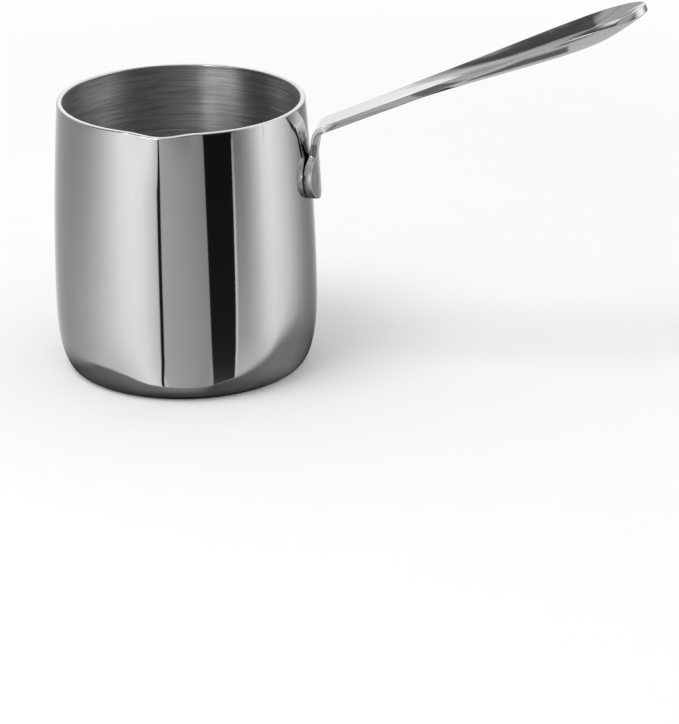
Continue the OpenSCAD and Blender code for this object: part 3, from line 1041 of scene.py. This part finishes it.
def make_under_card():
    """Pale card below the handle with a dark flag on it; only polished surfaces see it."""
    m, nt, b = nodes_of("studio_card")
    nt.nodes.remove(b)
    out = next(n for n in nt.nodes if n.type == "OUTPUT_MATERIAL")
    sep = nt.nodes.new("ShaderNodeSeparateXYZ")
    nt.links.new(obj_coord(nt), sep.inputs[0])
    x, y, z = (math_node(nt, "MULTIPLY", q, 1000) for q in sep.outputs)

    def span(v, lo, hi, s_lo, s_hi):
        p = map_range(nt, v, lo - s_lo / 2, lo + s_lo / 2, 0, 1, True)
        q = map_range(nt, v, hi - s_hi / 2, hi + s_hi / 2, 1, 0, True)
        return math_node(nt, "MULTIPLY", p, q)

    # the flag's front edge runs aslant: it starts as a point near x = 102 and is 11 mm wide at x = 120
    front = map_range(nt, x, 101, 122, 1.5, -11.5)
    flag = math_node(nt, "MULTIPLY", span(x, 103, 137.2, 5, 1.2), span(math_node(nt, "SUBTRACT", y, front), 0, 60, 3, 1))
    back = map_range(nt, x, 103, 122, 3.5, -0.3)
    flag = math_node(nt, "MULTIPLY", flag, map_range(nt, math_node(nt, "SUBTRACT", y, back), -1.2, 1.6, 1, 0, True))
    spot = math_node(nt, "MULTIPLY", span(x, 133, 149, 5, 6), span(y, -20.5, -14.2, 3, 2.4))
    dark = math_node(nt, "MAXIMUM", flag, math_node(nt, "MULTIPLY", spot, 0.85))
    grain = noise(nt, scaled(nt, obj_coord(nt), 60, 700, 1), 1, 2)
    light = map_range(nt, grain, 0.2, 0.8, lin(158) / REFL, lin(188) / REFL)
    tone = math_node(nt, "MULTIPLY_ADD", dark, -1.0, 1.0)
    tone = math_node(nt, "MULTIPLY", light, tone)
    tone = math_node(nt, "MULTIPLY_ADD", dark, lin(88) / REFL, tone)
    em = nt.nodes.new("ShaderNodeEmission")
    nt.links.new(combine(nt, tone, tone, tone), em.inputs[0])
    near_only(nt, em, out, 0.0, 0.05)

    def top(x_, y_):
        return (x_, y_, P_BAR[1] + (x_ - P_BAR[0]) * math.tan(math.radians(RISE)) - 24)

    o = new_object("under_card", [top(97, -44), top(176, -44), top(176, 70), top(97, 70)], [(0, 1, 2, 3)], [m])
    o.visible_camera = False
    o.visible_diffuse = False
    o.visible_shadow = False
    o.visible_transmission = False
    o.visible_volume_scatter = False


def make_front_card():
    """Narrow upright card along the handle's near side: mid grey low down, a dark band, then light."""
    m, nt, b = nodes_of("studio_card_front")
    nt.nodes.remove(b)
    out = next(n for n in nt.nodes if n.type == "OUTPUT_MATERIAL")
    sep = nt.nodes.new("ShaderNodeSeparateXYZ")
    nt.links.new(obj_coord(nt), sep.inputs[0])
    x, y, z = (math_node(nt, "MULTIPLY", q, 1000) for q in sep.outputs)
    line = math_node(nt, "MULTIPLY_ADD", math_node(nt, "SUBTRACT", x, P_BAR[0]), math.tan(math.radians(RISE)), P_BAR[1])
    h = math_node(nt, "SUBTRACT", z, line)
    grain = noise(nt, scaled(nt, obj_coord(nt), 50, 1, 900), 1, 2)
    h = math_node(nt, "MULTIPLY_ADD", math_node(nt, "SUBTRACT", grain, 0.5), 2.5, h)
    # the dark band tapers to a point high up at the card's left end
    foot = curve(nt, x, 58, 168, [(58, 17), (69, 15), (72, 8), (75, 5), (82, 0), (168, 0)], -2, 30)
    head = curve(nt, x, 58, 168, [(58, 28), (76, 24), (80, 14), (84, 10.7), (168, 10.7)], -2, 30)
    low = map_range(nt, math_node(nt, "SUBTRACT", h, foot), -1.5, 1.5, 0, 1, True)
    high = map_range(nt, math_node(nt, "SUBTRACT", h, head), -1.7, 1.7, 0, 1, True)
    tone = math_node(nt, "MULTIPLY_ADD", low, (lin(96) - lin(160)) / REFL, lin(160) / REFL)
    tone = math_node(nt, "MULTIPLY_ADD", high, (lin(182) - lin(96)) / REFL, tone)
    em = nt.nodes.new("ShaderNodeEmission")
    nt.links.new(combine(nt, tone, tone, tone), em.inputs[0])
    near_only(nt, em, out, 0.0213, 0.036)

    def at(x_, h_):
        return (x_, -29, P_BAR[1] + (x_ - P_BAR[0]) * math.tan(math.radians(RISE)) + h_)

    o = new_object("front_card", [at(47, -2), at(72, -8), at(168, -18), at(168, 24), at(58, 24), at(47, 14)], [(0, 1, 2, 3, 4, 5)], [m])
    o.visible_camera = False
    o.visible_diffuse = False
    o.visible_shadow = False
    o.visible_transmission = False
    o.visible_volume_scatter = False


def area_light(name, loc, size, power, target=(0.03, 0, 0.04)):
    l = bpy.data.lights.new(name, "AREA")
    l.shape = "DISK"
    l.size = size
    l.energy = power
    o = bpy.data.objects.new(name, l)
    bpy.context.scene.collection.objects.link(o)
    o.location = loc
    o.rotation_euler = (Vector(target) - Vector(loc)).to_track_quat("-Z", "Y").to_euler()
    o.visible_glossy = False
    o.visible_camera = False
    return o


# ------------------------------------------------------------------ build
make_camera()
make_world()
make_floor()
if FITTED_STUDIO:
    make_under_card()
    make_front_card()
area_light("key", (-0.5, -0.5, 1.5), 0.9, 9)
bpy.context.scene.view_settings.view_transform = "Standard"
bpy.context.scene.view_settings.look = "None"

pot = make_pot([mat_mirror(), mat_rim(), mat_inside(), mat_under()])
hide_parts("pot_body")
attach(pot, "root")

handle = make_handle([mat_handle()])
apply_boolean(handle, hole_cutter())
handle.data.polygons.foreach_set("use_smooth", [True] * len(handle.data.polygons))
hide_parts("handle")
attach(handle, "root")

weld = mat_weld()
for name in ("front_spot_weld", "rear_spot_weld"):
    o = bpy.data.objects.get(name)
    if o is None:
        o = next(q for q in bpy.data.objects if q.type == "MESH" and q.name.startswith(name))
    if o.data.materials:
        for i in range(len(o.data.materials)):
            o.material_slots[i].link = "OBJECT"
            o.material_slots[i].material = weld
    else:
        o.data.materials.append(weld)
